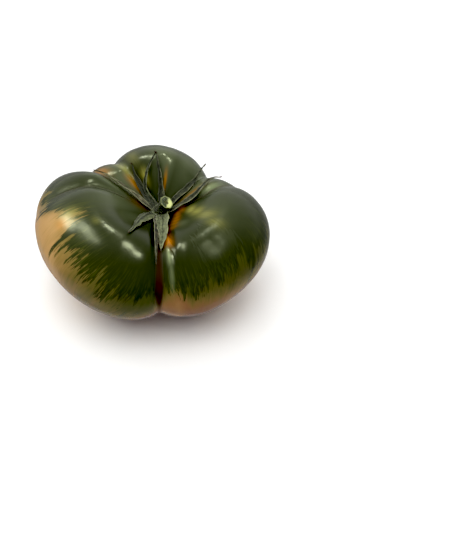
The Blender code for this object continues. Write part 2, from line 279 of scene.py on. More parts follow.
def section_points():
    """Points from the seat over the shoulder to the middle of the foot, on a lobe of typical size.

    The columns are the share of the way along, the shares of reach and height, and the
    outward direction. The hollow's share of the way and the whole length come with them.
    """
    arcs = (
        ((0, 0), (SEAT_HANDLE, 0), (SHOULDER_AT - SHOULDER_HANDLES[0], 1), (SHOULDER_AT, 1)),
        ((SHOULDER_AT, 1), (SHOULDER_AT + SHOULDER_HANDLES[1], 1),
         (1, WIDEST_AT + SIDE_HANDLES[0]), (1, WIDEST_AT)),
        ((1, WIDEST_AT), (1, WIDEST_AT - SIDE_HANDLES[1]),
         (FLAT_SPOT + FLAT_SPOT_HANDLE, 0), (FLAT_SPOT, 0)),
        ((FLAT_SPOT, 0), (FLAT_SPOT * 2 / 3, 0), (FLAT_SPOT / 3, 0), (0, 0)),
    )
    shares = []
    for number, arc in enumerate(arcs):
        curve = interpolate_bezier(*[Vector(corner) for corner in arc], POINTS_PER_ARC)
        shares += [point[:] for point in curve[min(number, 1):]]
    shares = np.array(shares)
    bottoms = np.where(np.arange(len(shares)) < POINTS_PER_ARC, SEAT.z, 0.0)
    places = np.column_stack((shares[:, 0] * TYPICAL_LOBE.reach,
                              bottoms + (TYPICAL_LOBE.crown - bottoms) * shares[:, 1]))
    lengths = np.append(0.0, np.cumsum(np.hypot(*np.diff(places, axis=0).T)))
    before = places[np.maximum(np.arange(len(places)) - 1, 0)]
    after = places[np.minimum(np.arange(len(places)) + 1, len(places) - 1)]
    along = (after - before) / np.hypot(*(after - before).T)[:, None]
    table = np.column_stack((lengths / lengths[-1], shares, -along[:, 1], along[:, 0]))
    return table, table[POINTS_PER_ARC - 1, 0], lengths[-1]


SECTION, HOLLOW_SHARE, SECTION_LENGTH = section_points()


def lobe_value(field, bearing):
    """A lobe's reach or crown at any bearing, on a smooth closed curve through the lobes."""
    lobes = (*LOBES[-2:], *LOBES, *LOBES[:2])
    turns = [-360] * 2 + [0] * len(LOBES) + [360] * 2
    angles = np.array([lobe.bearing + turn for lobe, turn in zip(lobes, turns)], float)
    values = np.array([getattr(lobe, field) for lobe in lobes])
    following = np.searchsorted(angles, bearing % 360, side="right")
    steps = (-2, -1, 0, 1)
    angle_before, angle_here, angle_next, angle_after = (angles[following + step] for step in steps)
    value_before, value_here, value_next, value_after = (values[following + step] for step in steps)
    span = angle_next - angle_here
    slope_in = (value_next - value_before) / (angle_next - angle_before) * span
    slope_out = (value_after - value_here) / (angle_after - angle_here) * span
    way = (bearing % 360 - angle_here) / span
    return ((2 * way ** 3 - 3 * way ** 2 + 1) * value_here + (way ** 3 - 2 * way ** 2 + way) * slope_in
            + (-2 * way ** 3 + 3 * way ** 2) * value_next + (way ** 3 - way ** 2) * slope_out)


def furrow_bearing(furrow, share):
    """Where a furrow's bottom runs, part of the way from the seat to the foot."""
    return furrow.bearing + furrow.bend * smooth_step(0, BEND_DONE, share)


def furrow_depth(bearing, share):
    """Depth of all the furrows together at one place on the skin."""
    depth = 0.0
    for furrow in FURROWS:
        away = turn_between(bearing, furrow_bearing(furrow, share)) / furrow.half_width
        rounded = np.hypot(away, FURROW_BOTTOM_ROUND) - FURROW_BOTTOM_ROUND
        fading = 1 - smooth_step(furrow.fades_from, furrow.fades_to, share)
        depth = depth + furrow.depth * fading * np.exp(-rounded)
    return depth * smooth_step(*FURROWS_START, share)


def on_drum(bearing, share):
    """Places on the drum round the axis on which the streaks and swellings are laid out."""
    angle = np.radians(bearing)
    return np.column_stack((np.cos(angle), np.sin(angle), share))


def swelling(bearing, share):
    """How far the flesh pushes the skin out."""
    places = on_drum(bearing, share) * (1, 1, SWELLINGS_ALONG)
    height = sum(size * np.array([noise.noise(Vector(place)) for place in places * scale])
                 for size, scale in SWELLINGS)
    return height * smooth_step(*SWELLINGS_START, share)


def skin_places(bearing, share):
    """Places on the skin at these bearings, these parts of the way from the seat to the foot's middle."""
    across, up, outward_x, outward_y = (np.interp(share, SECTION[:, 0], SECTION[:, column])
                                        for column in (1, 2, 3, 4))
    depth = furrow_depth(bearing, share) - swelling(bearing, share)
    radius = np.maximum(across * lobe_value("reach", bearing) - depth * outward_x, 0.0)
    bottom = np.where(share < HOLLOW_SHARE, SEAT.z, 0.0)
    height = np.maximum(bottom + (lobe_value("crown", bearing) - bottom) * up - depth * outward_y, 0.0)
    axis = np.array(FOOT) + np.outer(height / SEAT.z, SEAT - FOOT)
    angle = np.radians(bearing)
    return np.column_stack((axis[:, 0] + radius * np.cos(angle),
                            axis[:, 1] + radius * np.sin(angle), height))


def scar_dimple(bearing, places):
    """How far the blossom scar draws the skin up, from 0 to 1 of its depth."""
    from_middle = np.hypot(places[:, 0] - FOOT.x, places[:, 1] - FOOT.y)
    folds = 1 + SCAR_FOLD_DEPTH * np.cos(np.radians(bearing) * SCAR_FOLDS)
    return np.where(places[:, 2] < SCAR_DEPTH, 1 - smooth_step(0, SCAR_RADIUS * folds, from_middle), 0.0)


def drawn_to_furrows(bearing, share):
    """The bearings, moved towards the furrows beside them."""
    moved = bearing
    for furrow in FURROWS:
        away = turn_between(bearing, furrow_bearing(furrow, share))
        moved = moved - MERIDIAN_PULL * away * np.exp(-(away / furrow.half_width) ** 2)
    return moved


def ripening_value(field, bearing):
    """One column of the ripening at any bearing, straight between those that are listed."""
    angles = [row.bearing for row in RIPENING]
    return np.interp(bearing, angles, [getattr(row, field) for row in RIPENING], period=360)


def tongue_reach(bearing):
    """How much further the green runs because of a tongue."""
    reaches = [tongue.reach * np.exp(-(turn_between(bearing, tongue.bearing) / tongue.half_width) ** 2)
               for tongue in TONGUES]
    return np.max(reaches, axis=0)


def furrow_bottom(bearing, share):
    """1 along the bottoms of the furrows that redden, and less beside them."""
    nearness = []
    for furrow in FURROWS:
        away = turn_between(bearing, furrow_bearing(furrow, share)) / (furrow.half_width * REDDENED_SHARE)
        fading = 1 - smooth_step(furrow.fades_from, furrow.fades_to, share)
        nearness.append(furrow.redness * fading * np.exp(-away ** 2))
    return np.max(nearness, axis=0) * (1 - REDNESS_FADES_BY * smooth_step(*REDNESS_FADES, share))


def patch_strength(tint, bearing, share):
    """Strength of the patches of one tint on the skin."""
    strengths = []
    for patch in PATCHES:
        if patch.tint == tint:
            around = turn_between(bearing, patch.bearing) / patch.half_bearing
            along = (share - patch.share) / patch.half_share
            strengths.append(patch.strength * np.exp(-around ** 2 - along ** 2))
    return np.max(strengths, axis=0)


def add_piece(name, bm, material, body, slot, *nodes):
    """Puts a finished mesh in the scene, riding on its body and standing for its solids."""
    mesh = bpy.data.meshes.new(name)
    bm.to_mesh(mesh)
    bm.free()
    mesh.materials.append(material)
    mesh.shade_smooth()
    piece = bpy.data.objects.new(name, mesh)
    bpy.context.scene.collection.objects.link(piece)
    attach(piece, body)
    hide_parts(*nodes)
    return piece


def hold_numbers(piece, name, values):
    """Gives each point of a piece a number for its material to read."""
    layer = piece.data.attributes.new(name, "FLOAT", "POINT")
    layer.data.foreach_set("value", values)


def hold_vectors(piece, name, vectors):
    """Gives each point of a piece a vector for its material to read."""
    layer = piece.data.attributes.new(name, "FLOAT_VECTOR", "POINT")
    layer.data.foreach_set("vector", np.ravel(vectors))


def new_finish(name):
    """A material with its node tree and its shader."""
    material = bpy.data.materials.new(name)
    material.use_nodes = True
    tree = material.node_tree
    return material, tree, tree.nodes["Principled BSDF"]


def add_node(tree, kind, inputs, **settings):
    """A node with its settings, and its inputs linked or set, by name or by number."""
    node = tree.nodes.new("ShaderNode" + kind)
    for setting, value in settings.items():
        setattr(node, setting, value)
    for socket, value in inputs.items():
        if isinstance(value, bpy.types.NodeSocket):
            tree.links.new(value, node.inputs[socket])
        else:
            node.inputs[socket].default_value = value
    return node


def number_of(tree, name):
    """The output of a number that the mesh holds at each point."""
    return add_node(tree, "Attribute", {}, attribute_name=name).outputs["Fac"]


def vector_of(tree, name):
    """The output of a vector that the mesh holds at each point."""
    return add_node(tree, "Attribute", {}, attribute_name=name).outputs["Vector"]


def calculate(tree, operation, *values):
    """The output of one step of arithmetic."""
    return add_node(tree, "Math", dict(enumerate(values)), operation=operation).outputs[0]


def add_noise(tree, place, stretch, grain):
    """Noise from 0 to 1, stretched by the place's three scales."""
    stretched = add_node(tree, "VectorMath", {0: place, 1: stretch}, operation="MULTIPLY").outputs[0]
    inputs = {"Vector": stretched, "Scale": 1.0, "Detail": grain[0], "Roughness": grain[1]}
    return add_node(tree, "TexNoise", inputs).outputs[0]


def with_noises(tree, value, noises, amounts):
    """The value with each noise, which is a half on average, added by its own amount."""
    for added, amount in zip(noises, amounts):
        value = calculate(tree, "MULTIPLY_ADD", added, amount, value)
    return value


def rise(tree, value, start, end, low=0.0, high=1.0):
    """A smooth change from low to high as the value goes from start to end."""
    inputs = {"Value": value, "From Min": start, "From Max": end, "To Min": low, "To Max": high}
    return add_node(tree, "MapRange", inputs, interpolation_type="SMOOTHSTEP").outputs[0]


def mix_colours(tree, share, first, second):
    """The first colour, going over to the second as the share goes from 0 to 1.

    A Mix node takes colours at its inputs 6 and 7, and gives one at its output 2.
    """
    inputs = {0: share}
    for socket, colour in ((6, first), (7, second)):
        inputs[socket] = (*colour, 1.0) if isinstance(colour, tuple) else colour
    return add_node(tree, "Mix", inputs, data_type="RGBA").outputs[2]


def colour_ramp(tree, share, stops):
    """Colours that follow on each other at the places given."""
    node = add_node(tree, "ValToRGB", {0: share})
    elements = node.color_ramp.elements
    while len(elements) < len(stops):
        elements.new(0.5)
    for element, (place, colour) in zip(elements, stops):
        element.position = place
        element.color = (*colour, 1.0)
    return node.outputs[0]


def bump(tree, height, depth):
    """A normal for the shader from a height of 0 to 1 that stands for this depth."""
    return add_node(tree, "Bump", {"Height": height, "Distance": depth, "Strength": 1.0}).outputs[0]


def skin_finish():
    """Waxy skin: streaks of dark green over the ripening colours, patches, furrows and cork, with painted
    sheen, highlights and a reflection among the patches.
    """
    material, tree, shader = new_finish("tomato_skin")
    flow = vector_of(tree, "flow")
    broad = add_noise(tree, flow, BROAD_STREAKS, SMOOTH_GRAIN)
    bold = add_noise(tree, flow, BOLD_STREAKS, SMOOTH_GRAIN)
    fine = add_noise(tree, flow, FINE_STREAKS, FIBRE_GRAIN)
    streaks = (broad, bold, fine)

    ripeness = with_noises(tree, number_of(tree, "ripeness"), streaks, RIPENESS_UNEVEN)
    typical = sum(RIPENESS_UNEVEN) / 2
    turned = colour_ramp(tree, calculate(tree, "SUBTRACT", ripeness, typical), RIPE_COLOURS)
    blush = calculate(tree, "MULTIPLY", number_of(tree, "blush"), rise(tree, ripeness, *BLUSH_SHOWS))
    turned = mix_colours(tree, blush, turned, BLUSH)

    # Painted sheen, with paler bloom, lightens the dark green of the shoulders and back lobes
    green = mix_colours(tree, number_of(tree, "bloom_and_sheen"), SHOULDER_GREEN, BLOOM_AND_SHEEN_GREEN)
    flecks = calculate(tree, "MULTIPLY", rise(tree, fine, *FLECKS_SHOW), number_of(tree, "near_end"))
    green = mix_colours(tree, flecks, green, MID_GREEN)
    end = with_noises(tree, number_of(tree, "before_end"), streaks, END_RAGGED)
    typical = sum(END_RAGGED) / 2
    cover = rise(tree, end, typical - STREAK_EDGE, typical + STREAK_EDGE)
    colour = mix_colours(tree, cover, turned, green)

    streaky = rise(tree, fine, *PATCH_STREAKS, PATCH_THINNEST, 1.0)
    # The patch tints, among them painted highlights and a painted reflection
    for name, tint in PATCH_TINTS.items():
        strength = calculate(tree, "MULTIPLY", number_of(tree, name), streaky)
        colour = mix_colours(tree, strength, colour, tint)
    reddening = rise(tree, number_of(tree, "furrow"), *FURROW_REDDENS)
    colour = mix_colours(tree, reddening, colour, FURROW_RED)
    colour = mix_colours(tree, number_of(tree, "scar"), colour, CORK)
    tree.links.new(colour, shader.inputs["Base Color"])

    place = add_node(tree, "TexCoord", {}).outputs["Object"]
    pores = add_noise(tree, place, (PORES_PER_METRE,) * 3, PORE_GRAIN)
    tree.links.new(bump(tree, pores, PORE_DEPTH), shader.inputs["Normal"])
    roughness = rise(tree, bold, *GLOSS_VARIES, *SKIN_ROUGHNESS)
    roughness = calculate(tree, "MAXIMUM", roughness, number_of(tree, "furrow"))
    dull = number_of(tree, "dull")
    roughness = calculate(tree, "MULTIPLY_ADD", dull, DULL_ROUGHENS_BY, roughness)
    tree.links.new(roughness, shader.inputs["Roughness"])
    shine = calculate(tree, "MULTIPLY_ADD", dull, -FULL_SHINE, FULL_SHINE)
    tree.links.new(shine, shader.inputs["Specular IOR Level"])
    shader.inputs["IOR"].default_value = SKIN_IOR
    shader.inputs["Specular Tint"].default_value = (*WAX_TINT, 1.0)
    return material


bm = bmesh.new()
bmesh.ops.create_grid(bm, x_segments=FRUIT_MERIDIANS, y_segments=FRUIT_RINGS, size=1)
drum_layer = bm.verts.layers.float_vector.new("drum")
sheet = np.array([vertex.co for vertex in bm.verts])
shares = (1 - sheet[:, 1]) / 2
bearings = drawn_to_furrows(sheet[:, 0] * 180, shares)
places = skin_places(bearings, shares)
places[:, 2] += SCAR_DEPTH * scar_dimple(bearings, places)
for vertex, place, drum_place in zip(bm.verts, places, on_drum(bearings, shares)):
    vertex.co = place
    vertex[drum_layer] = drum_place
bmesh.ops.remove_doubles(bm, verts=bm.verts, dist=SEAM_REACH)
bmesh.ops.recalc_face_normals(bm, faces=bm.faces)
skin_tree = BVHTree.FromBMesh(bm)
drum_places = np.array([vertex[drum_layer] for vertex in bm.verts])
places = np.array([vertex.co for vertex in bm.verts])
fruit = add_piece("ribbed_fruit", bm, skin_finish(), "root", "tomato_skin", "fruit")

bearings = np.degrees(np.arctan2(drum_places[:, 1], drum_places[:, 0]))
shares = drum_places[:, 2]
past_start = np.clip(shares - STREAKS_START, -LONGEST_LEAN, LONGEST_LEAN)
streak_bearings = bearings - ripening_value("lean", bearings) * past_start
green_ends = ripening_value("green_ends", streak_bearings) + tongue_reach(streak_bearings)
turned = np.maximum(ripening_value("turned", streak_bearings), green_ends + SHORTEST_TURN)
hold_vectors(fruit, "flow", on_drum(streak_bearings, shares))
hold_numbers(fruit, "before_end", green_ends - shares)
hold_numbers(fruit, "near_end", 1 - smooth_step(0, FLECK_REACH, green_ends - shares))
ripe_there = ripening_value("ripe_there", streak_bearings)
turning = smooth_step(green_ends - TURN_STARTS_EARLY, turned, shares)
hold_numbers(fruit, "ripeness", ripe_there + (1 - ripe_there) * turning)
hold_numbers(fruit, "blush", ripening_value("blush", streak_bearings))
for tint in (*PATCH_TINTS, "bloom_and_sheen", "dull"):
    hold_numbers(fruit, tint, patch_strength(tint, bearings, shares))
hold_numbers(fruit, "furrow", furrow_bottom(bearings, shares))
hold_numbers(fruit, "scar", smooth_step(*CORK_FROM, places[:, 2] / SCAR_DEPTH) * (shares > FOOT_SHARE))

# The calyx: nine sepals round a small fleshy disc, dried to grey-green ribbons with pale
# margins. They lie over the hollow and along the furrows, and their tips curl as they dry.
CALYX_GAP = 0.00015
DISC_RADIUS = 0.0033
DISC_HALF_HEIGHT = 0.0011
DISC_GAP = 0.00032
SEPAL_THICKNESS = 0.00030
SEPAL_ROWS = 96
SEPAL_COLUMNS = 16
CURL_ROWS = 16
SEPAL_TIP_WIDTH = 0.00035
SEPAL_ROOT_SHARE = 0.90
SEPAL_WIDEST = 0.18
SEPAL_TAPER_END = 1.05
MM_PER_METRE = 1000

# A sepal bridges the furrows that it crosses: it stands square to the skin's slope over this many
# degrees round and this share along, and the rows beside one that has to clear a lobe rise too.
SPAN_AROUND = 9
SPAN_ALONG = 0.03
ENVELOPE_PASSES = 24

# Waves of the margins, wrinkles across and along the blade, and rags. Waves and wrinkles keep their
# height until the blade has narrowed to 1 / RELIEF_KEEPS. Two sepals, and the two margins of one,
# lie apart in each noise, so that no two are alike.
MARGIN_CURL = 0.10
MARGIN_WAVE = 0.00025
WAVES_ALONG = 3.0
WRINKLE_HEIGHT = 0.00030
WRINKLES = (3.5, 9.0)
RAGGED_SHARE = 0.22
RAGS_ALONG = 14.0
RELIEF_KEEPS = 1.5
MARGINS_APART = 1.3
RAGS_APART = 3.0
WRINKLES_APART = 5.0
FIBRES_APART = 7.0

# A sepal's path is a Bezier curve of (bearing, millimetres along the skin, millimetres above it).
# Fold is the rise of its edges over its middle as a share of its width. Curl is the radius in
# millimetres and the turn in degrees of its dried tip. Pale goes from dark to light and brown
# from green to brown. The last column paints light and shade on the halves of the folded blade: how
# much paler, as lit, its right half is painted, looking outwards, and how much darker, as shaded, its
# left.
Sepal = namedtuple("Sepal", "root leaving arriving tip width fold curl pale brown leans")
SEPALS = {
    "front_left": Sepal((196, 2.2, 1.0), (220, 9, 1.6), (235, 18, 1.8), (235, 27, 0.9),
                        0.0042, -0.28, (3.0, 25), 0.45, 0.1, -0.35),
    "front_left_furrow": Sepal((244, 2.2, 1.0), (258, 12, 1.6), (261, 24, 1.2), (263, 38, 0.9),
                               0.0027, 0.12, (3.0, 20), 0.25, 0.9, 0.0),
    "front": Sepal((288, 2.2, 1.0), (278, 9, 2.0), (267, 18, 1.8), (267, 29, 0.9),
                   0.0052, 0.16, (3.0, 30), 0.52, 0.1, -0.12),
    "right": Sepal((-8, 2.2, 1.0), (14, 13, 1.8), (34, 24, 1.4), (32, 38, 1.1),
                   0.0026, 0.12, (3.0, 30), 0.20, 0.5, 0.1),
    "back_right": Sepal((32, 2.2, 1.0), (48, 13, 1.6), (46, 26, 1.2), (51, 37, 2.6),
                        0.0024, 0.14, (1.8, 75), 0.10, 0.3, 0.1),
    "back": Sepal((74, 2.2, 1.0), (82, 10, 1.7), (87, 17, 1.3), (90, 27, 1.6),
                  0.0024, 0.16, (0.8, 130), -0.05, 0.4, 0.25),
    "back_left": Sepal((118, 2.2, 1.0), (116, 10, 1.5), (118, 18, 1.3), (113, 25, 2.4),
                       0.0030, 0.14, (1.2, 90), -0.22, 0.2, 0.1),
    "back_left_twin": Sepal((108, 2.2, 1.0), (122, 11, 2.0), (103, 19, 1.5), (92, 27, 1.5),
                            0.0019, 0.14, (0.9, 120), 0.05, 0.0, 0.1),
    "left": Sepal((154, 2.2, 1.0), (145, 9, 1.6), (137, 17, 1.5), (147, 30, 1.1),
                  0.0022, 0.12, (3.0, 20), 0.35, 0.7, 0.0),
}
DRY_DARK = (0.042, 0.047, 0.027)
DRY_GREEN = (0.190, 0.220, 0.110)
DRY_BROWN = (0.180, 0.145, 0.085)
DRY_MARGIN = (0.320, 0.330, 0.190)
DRY_TIP = (0.085, 0.060, 0.030)
FIBRES_PER_METRE = (500.0, 5000.0, 1.0)
BLOTCHES_PER_METRE = 700.0
FIBRE_DEPTH = 0.00012

# How much fibres and blotches lighten the leaf, where that shows, and how the fold, the margins and
# the tip differ from it. Along is the share of a sepal's length, and margin that of its half width.
SEPAL_LENGTH = 0.035
# How quickly along and how much the sepals darken towards their roots: painted shade beside the disc
SEPAL_ROOT_SHADE = (0.08, 0.35)
PALE_UNEVEN = (1.5, 1.2)
PALE_SHOWS = (1.35, 2.10)
FOLD_SHOWS = (0.02, 0.22)
FOLD_DARK = 0.4
MARGIN_UNEVEN = 0.4
MARGIN_SHOWS = (1.02, 1.20)
MARGIN_LIGHTENS = (-0.3, 0.6, 0.12, 0.7)
TIP_UNEVEN = 0.1
TIP_BROWNS = (0.86, 1.02)
TIP_BROWNS_BY = 0.8
LEAF_ROUGHNESS = 0.75
LEAF_IOR = 1.25
LEAF_DOWN = (0.08, 0.5)


def sepal_width(sepal, along):
    """Full width of a sepal, part of the way from its root to its tip."""
    swelling_out = SEPAL_ROOT_SHARE + (1 - SEPAL_ROOT_SHARE) * smooth_step(0, SEPAL_WIDEST, along)
    tapering = 1 - smooth_step(SEPAL_WIDEST, SEPAL_TAPER_END, along)
    return max(sepal.width * swelling_out * tapering, SEPAL_TIP_WIDTH)


def sepal_spine(sepal):
    """Places along a sepal's middle with the directions out of the skin there, curled tip included."""
    knots = [Vector(knot) for knot in (sepal.root, sepal.leaving, sepal.arriving, sepal.tip)]
    path = np.array([point[:] for point in interpolate_bezier(*knots, SEPAL_ROWS + 1 - CURL_ROWS)])
    bearing = path[:, 0]
    share = path[:, 1] / MM_PER_METRE / SECTION_LENGTH
    nearer = np.maximum(share - SPAN_ALONG, 0)
    around = skin_places(bearing + SPAN_AROUND, share) - skin_places(bearing - SPAN_AROUND, share)
    along = skin_places(bearing, share + SPAN_ALONG) - skin_places(bearing, nearer)
    outward = [Vector(cross).normalized() for cross in np.cross(along, around)]
    lifts = path[:, 2] / MM_PER_METRE
    on_skin = skin_places(bearing, share)
    places = [Vector(place) + up * lift for place, up, lift in zip(on_skin, outward, lifts)]
    radius = sepal.curl[0] / MM_PER_METRE
    turn = math.radians(sepal.curl[1])
    forward = (places[-1] - places[-2]).normalized()
    up = (outward[-1] - forward * outward[-1].dot(forward)).normalized()
    tip = places[-1]
    for row in range(1, CURL_ROWS + 1):
        angle = turn * row / CURL_ROWS
        places.append(tip + forward * radius * math.sin(angle) + up * radius * (1 - math.cos(angle)))
        outward.append(up * math.cos(angle) - forward * math.sin(angle))
    return places, outward


def clearance(points, up):
    """How far a row of points has to move outwards to clear the skin."""
    shortfall = 0.0
    for point in points:
        nearest, facing, _, _ = skin_tree.find_nearest(point)
        shortfall = max(shortfall, CALYX_GAP + SEPAL_THICKNESS - (point - nearest).dot(facing))
    return shortfall


def sepal_rows(sepal, number):
    """Rows of points across a sepal, folded along its middle, its margins curled and waved."""
    places, outward = sepal_spine(sepal)
    rows = []
    for index, (place, up) in enumerate(zip(places, outward)):
        forward = places[min(index + 1, SEPAL_ROWS)] - places[max(index - 1, 0)]
        side = forward.cross(up).normalized()
        along = index / SEPAL_ROWS
        width = sepal_width(sepal, along)
        relief = min(width / sepal.width * RELIEF_KEEPS, 1.0)
        row = []
        for column in range(SEPAL_COLUMNS + 1):
            across = 2 * column / SEPAL_COLUMNS - 1
            edge = math.copysign(MARGINS_APART, across)
            wave = math.sin(2 * math.pi * WAVES_ALONG * along + number + edge)
            rags = noise.noise(Vector((along * RAGS_ALONG, edge, number * RAGS_APART)))
            on_blade = (across * WRINKLES[0], along * WRINKLES[1], number * WRINKLES_APART)
            wrinkle = noise.noise(Vector(on_blade))
            height = width * (sepal.fold * abs(across) + MARGIN_CURL * across ** 4)
            height += (MARGIN_WAVE * wave * across ** 2 + WRINKLE_HEIGHT * wrinkle) * relief
            reach = across * width / 2 * (1 + RAGGED_SHARE * rags)
            row.append(place + side * reach + up * height)
        rows.append(row)
    lifts = np.array([clearance(row, up) for row, up in zip(rows, outward)])
    for _ in range(ENVELOPE_PASSES):
        lifts[1:-1] = np.maximum(lifts[1:-1], (lifts[:-2] + lifts[2:]) / 2)
    return [[point + up * lift for point in row] for row, up, lift in zip(rows, outward, lifts)]


def calyx_finish():
    """Dry leaf: dark fibres and a dark fold, thin pale margins and browned tips, dull and downy, under
    painted light and shade on the halves and roots of the blades.
    """
    material, tree, shader = new_finish("dry_calyx")
    blade = vector_of(tree, "blade")
    fibres = add_noise(tree, blade, FIBRES_PER_METRE, FIBRE_GRAIN)
    place = add_node(tree, "TexCoord", {}).outputs["Object"]
    blotches = add_noise(tree, place, (BLOTCHES_PER_METRE,) * 3, SPECKLED_GRAIN)
    paleness_and_shade = with_noises(tree, number_of(tree, "pale"), (fibres, blotches), PALE_UNEVEN)
    fold = rise(tree, number_of(tree, "margin"), *FOLD_SHOWS, FOLD_DARK, 0.0)
    paleness_and_shade = calculate(tree, "SUBTRACT", paleness_and_shade, fold)
    leaf = mix_colours(tree, number_of(tree, "brown"), DRY_GREEN, DRY_BROWN)
    colour = mix_colours(tree, rise(tree, paleness_and_shade, *PALE_SHOWS), DRY_DARK, leaf)
    margin = calculate(tree, "MULTIPLY_ADD", blotches, MARGIN_UNEVEN, number_of(tree, "margin"))
    lightness = rise(tree, number_of(tree, "pale"), *MARGIN_LIGHTENS)
    lightness = calculate(tree, "MULTIPLY", lightness, rise(tree, margin, *MARGIN_SHOWS))
    colour = mix_colours(tree, lightness, colour, DRY_MARGIN)
    tip = calculate(tree, "MULTIPLY_ADD", blotches, TIP_UNEVEN, number_of(tree, "along"))
    colour = mix_colours(tree, rise(tree, tip, *TIP_BROWNS, 0.0, TIP_BROWNS_BY), colour, DRY_TIP)
    tree.links.new(colour, shader.inputs["Base Color"])
    tree.links.new(bump(tree, fibres, FIBRE_DEPTH), shader.inputs["Normal"])
    shader.inputs["Roughness"].default_value = LEAF_ROUGHNESS
    shader.inputs["IOR"].default_value = LEAF_IOR
    shader.inputs["Sheen Weight"].default_value = LEAF_DOWN[0]
    shader.inputs["Sheen Roughness"].default_value = LEAF_DOWN[1]
    return material


bm = bmesh.new()
blade_layer = bm.verts.layers.float_vector.new("blade")
along_layer = bm.verts.layers.float.new("along")
margin_layer = bm.verts.layers.float.new("margin")
pale_and_shade_layer = bm.verts.layers.float.new("pale")
brown_layer = bm.verts.layers.float.new("brown")
for number, sepal in enumerate(SEPALS.values()):
    rows = sepal_rows(sepal, number)
    leaf = bmesh.ops.create_grid(bm, x_segments=SEPAL_ROWS, y_segments=SEPAL_COLUMNS, size=1)["verts"]
    for vertex in leaf:
        row = round((vertex.co.x + 1) / 2 * SEPAL_ROWS)
        column = round((vertex.co.y + 1) / 2 * SEPAL_COLUMNS)
        across = vertex.co.y
        vertex.co = rows[row][column]
        width = sepal_width(sepal, row / SEPAL_ROWS)
        along = row / SEPAL_ROWS
        vertex[blade_layer] = (along * SEPAL_LENGTH, across * width / 2, number * FIBRES_APART)
        vertex[along_layer] = along
        vertex[margin_layer] = abs(across)
        # Painted light and shade: one half of the blade painted paler as lit and the other darker as
        # shaded, and painted shade darkening the root beside the disc
        root = math.exp(-along / SEPAL_ROOT_SHADE[0])
        vertex[pale_and_shade_layer] = sepal.pale + sepal.leans * across - SEPAL_ROOT_SHADE[1] * root
        vertex[brown_layer] = sepal.brown
    faces = list(dict.fromkeys(face for vertex in leaf for face in vertex.link_faces))
    bmesh.ops.recalc_face_normals(bm, faces=faces)
    bmesh.ops.solidify(bm, geom=faces, thickness=SEPAL_THICKNESS)
bmesh.ops.recalc_face_normals(bm, faces=bm.faces)
dry_leaf = calyx_finish()
sepals = add_piece("calyx_sepals", bm, dry_leaf, "root", "dry_calyx", "calyx")

# The disc: the small fleshy cushion that the sepals and the stalk grow from, dried and knobbly,
# with a ridge where each sepal leaves it. Knobs are a height and how many go to a metre.
DISC_MERIDIANS = 64
DISC_RINGS = 24
DISC_RIDGE = 0.0005
DISC_RIDGE_HALF_BEARING = 13
DISC_KNOBS = (0.0003, 1400)
DISC_PALE = 0.7
bm = bmesh.new()
bmesh.ops.create_uvsphere(bm, u_segments=DISC_MERIDIANS, v_segments=DISC_RINGS, radius=1)
disc_middle = SEAT + Vector((0, 0, DISC_GAP + DISC_HALF_HEIGHT))
for vertex in bm.verts:
    bearing = math.degrees(math.atan2(vertex.co.y, vertex.co.x))
    level = vertex.co.xy.length
    ridges = sum(math.exp(-(turn_between(bearing, sepal.root[0]) / DISC_RIDGE_HALF_BEARING) ** 2)
                 for sepal in SEPALS.values())
    away = vertex.co.normalized()
    vertex.co *= Vector((DISC_RADIUS, DISC_RADIUS, DISC_HALF_HEIGHT))
    knob = DISC_KNOBS[0] * noise.noise(vertex.co * DISC_KNOBS[1])
    vertex.co += away * (DISC_RIDGE * ridges * level + knob)
    vertex.co += disc_middle
bmesh.ops.recalc_face_normals(bm, faces=bm.faces)
disc = add_piece("calyx_disc", bm, dry_leaf, "root", "dry_calyx", "calyx")
hold_numbers(disc, "pale", [DISC_PALE] * len(disc.data.vertices))

# The stalk: a short green stub, cut aslant. Its ribbed rind stands round a ring of wood, which
# is still pale and moist on one side, and the pith inside has darkened and sunk as it dried.
STALK_LEAN = Vector((0.0026, -0.0002, 0.0036))
STALK_RADII = (0.0024, 0.0023, 0.0022, 0.0022, 0.0023)
STALK_BOW = 0.0005
STALK_CUT_NORMAL = Vector((0.34, -0.36, 0.87))
STALK_SIDES = 64
STALK_STEPS = 24
STALK_RIBS = 7
STALK_RIB_SHARE = 0.035
STALK_KNOBS = (0.00016, 900)
# The cut face: each ring's share of the radius, and how far it stands over the cut
CUT_RINGS = ((0.96, 0.00006), (0.90, 0.00007), (0.82, 0.0), (0.72, 0.00004), (0.60, 0.00008),
             (0.48, 0.00005), (0.36, -0.00012), (0.26, -0.00028), (0.16, -0.00034), (0.06, -0.00036))
CUT_LUMPS = (0.00010, 1600)
OUTSIDE_CUT = 1.2
MOIST_BEARING = -15
PITH = (0.080, 0.085, 0.030)
WOOD = (0.640, 0.680, 0.270)
DRIED_WOOD = (0.060, 0.074, 0.034)
RIND = (0.070, 0.078, 0.036)
RIND_DARK = (0.014, 0.016, 0.008)
RIND_EDGE = (0.300, 0.340, 0.130)
GRAIN_PER_METRE = (2600.0, 2600.0, 700.0)
GRAIN_SHOWS = (0.35, 0.70)
GRAIN_DEPTH = 0.00008

# Where on the cut the wood is moist, where the pith ends and where the pale edge and the rind start,
# with how uneven the specks make each
CUT_SPECKS_PER_METRE = 1500.0
MOIST_UNEVEN = 0.9
MOIST_SHOWS = (0.40, 0.75)
PITH_UNEVEN = 0.45
PITH_ENDS = (0.46, 0.66)
EDGE_UNEVEN = 0.20
EDGE_STARTS = (0.94, 1.02)
RIND_STARTS = (1.00, 1.08)
STALK_ROUGHNESS = 0.6
STALK_IOR = 1.3


